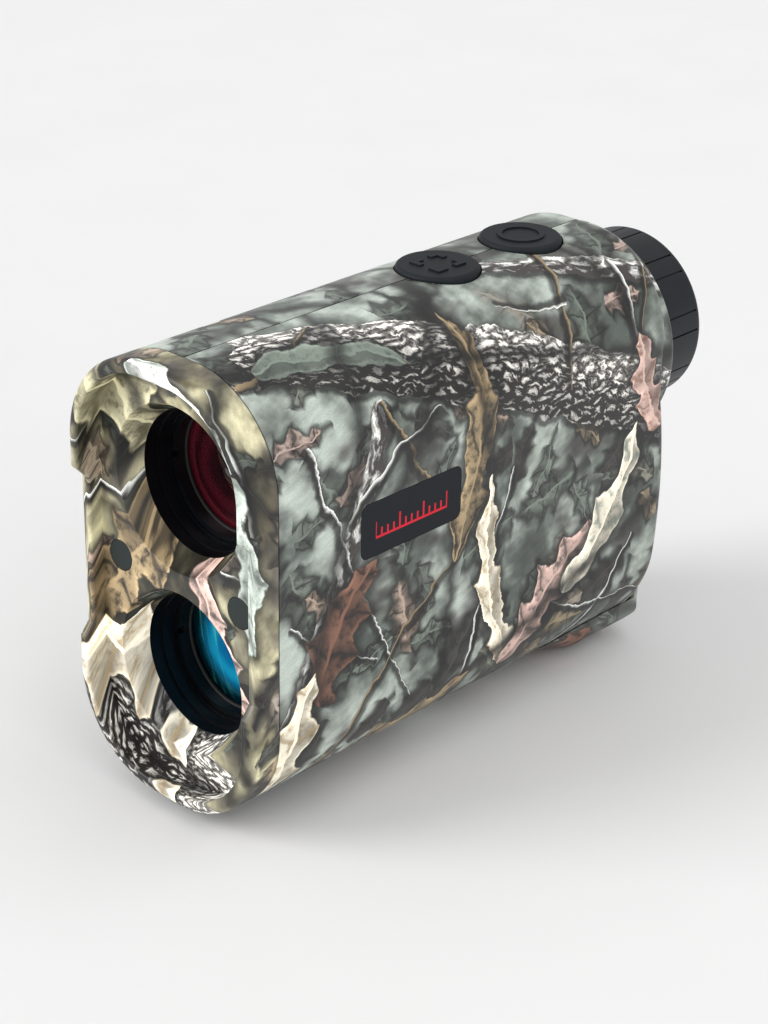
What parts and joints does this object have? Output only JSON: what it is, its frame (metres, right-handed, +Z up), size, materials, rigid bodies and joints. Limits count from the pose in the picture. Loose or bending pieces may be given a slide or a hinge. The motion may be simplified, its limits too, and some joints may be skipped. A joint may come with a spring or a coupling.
{
  "type": "laser rangefinder",
  "caption": "Compact hand-held laser rangefinder: tall rounded body with stacked lens ports, top buttons, a diopter ring at the rear eyepiece and a hinged battery door in the heel.",
  "frame": {"origin": "mouth of the tripod socket, on the flat strip of the underside", "axes": "+Z up, -Y forward through the lens ports, +Y to the eyepiece, +X the user's left"},
  "size_m": [0.0382, 0.1087, 0.0737],
  "materials": {
    "camo_shell": "satin film",
    "black_rubber": "matt",
    "black_plastic": "satin",
    "plate": "matt with a fine scale",
    "barrel_black": "matt black with baffles",
    "lens_red": "red coating",
    "lens_blue": "blue coating",
    "lens_clear": "green-magenta coating",
    "screw_steel": "black oxide",
    "brass": "turned",
    "steel": "bright",
    "board": "solder mask",
    "chip": "matt",
    "nickel": "nickel",
    "battery_wrap": "gloss sleeve",
    "flex": "polyimide film"
  },
  "bodies": {
    "housing": {"left_shell": "camo_shell", "right_shell": "camo_shell", "front_bezel": "camo_shell", "name_plate": "plate", "screw_plugs": "black_rubber", "bezel_screws": "screw_steel", "shell_screws": "screw_steel", "screw_inserts": "brass", "tripod_insert": "brass", "lanyard_pin": "steel", "key_switches": "chip", "key_board": "board", "keypad_seal": "black_rubber", "objective_barrel": "barrel_black", "objective_crown": "lens_red", "objective_flint": "lens_clear", "objective_retainer": "barrel_black", "objective_o_ring": "black_rubber", "receiver_barrel": "barrel_black", "receiver_lens": "lens_blue", "receiver_retainer": "barrel_black", "receiver_o_ring": "black_rubber", "half_penta_prism": "lens_clear", "roof_prism": "lens_clear", "prism_carrier": "black_plastic", "prism_clamp": "steel", "display_glass": "lens_clear", "display_frame": "black_plastic", "laser_holder": "barrel_black", "laser_diode": "nickel", "receiver_holder": "black_plastic", "receiver_filter": "lens_red", "photodiode": "nickel", "main_board": "board", "driver_board": "board", "flex_cable": "flex", "eyepiece_sleeve": "barrel_black", "diopter_o_ring": "black_rubber", "battery": "battery_wrap", "battery_plate": "nickel", "battery_spring": "nickel", "door_pin": "steel"},
    "mode_key": {"mode_button": "black_rubber", "mode_plunger": "black_plastic"},
    "measure_key": {"measure_button": "black_rubber", "measure_plunger": "black_plastic"},
    "diopter": {"diopter_ring": "black_plastic", "eyecup": "black_rubber"},
    "lens_cell": {"eyepiece_cell": "barrel_black", "field_lens": "lens_clear", "lens_spacer": "barrel_black", "eye_lens": "lens_clear", "drive_pin": "steel"},
    "door": {"battery_door": "camo_shell", "door_pad": "black_rubber"}
  },
  "joints": [
    {"name": "mode_press", "type": "slide", "parent": "housing", "child": "mode_key", "axis": [0, 0, -1], "range_m": [0, 0.0008], "stiffness_N_per_m": 1500, "springref_m": -0.0003},
    {"name": "measure_press", "type": "slide", "parent": "housing", "child": "measure_key", "axis": [0, 0, -1], "range_m": [0, 0.0008], "stiffness_N_per_m": 1500, "springref_m": -0.0003},
    {"name": "diopter_turn", "type": "hinge", "parent": "housing", "child": "diopter", "pos_m": [0, 0.055, 0.0502], "axis": [0, 1, 0], "range_deg": [-120, 120]},
    {"name": "lens_focus", "type": "slide", "parent": "housing", "child": "lens_cell", "axis": [0, 1, 0], "range_m": [-0.0012, 0.0012]},
    {"name": "door_open", "type": "hinge", "parent": "housing", "child": "door", "pos_m": [0, 0.0283, 0.0017], "axis": [-1, 0, 0], "range_deg": [0, 90]}
  ],
  "couplings": [
    {"joint": "diopter_turn", "follows": "lens_focus", "rad_per_m": 1745.3}
  ]
}
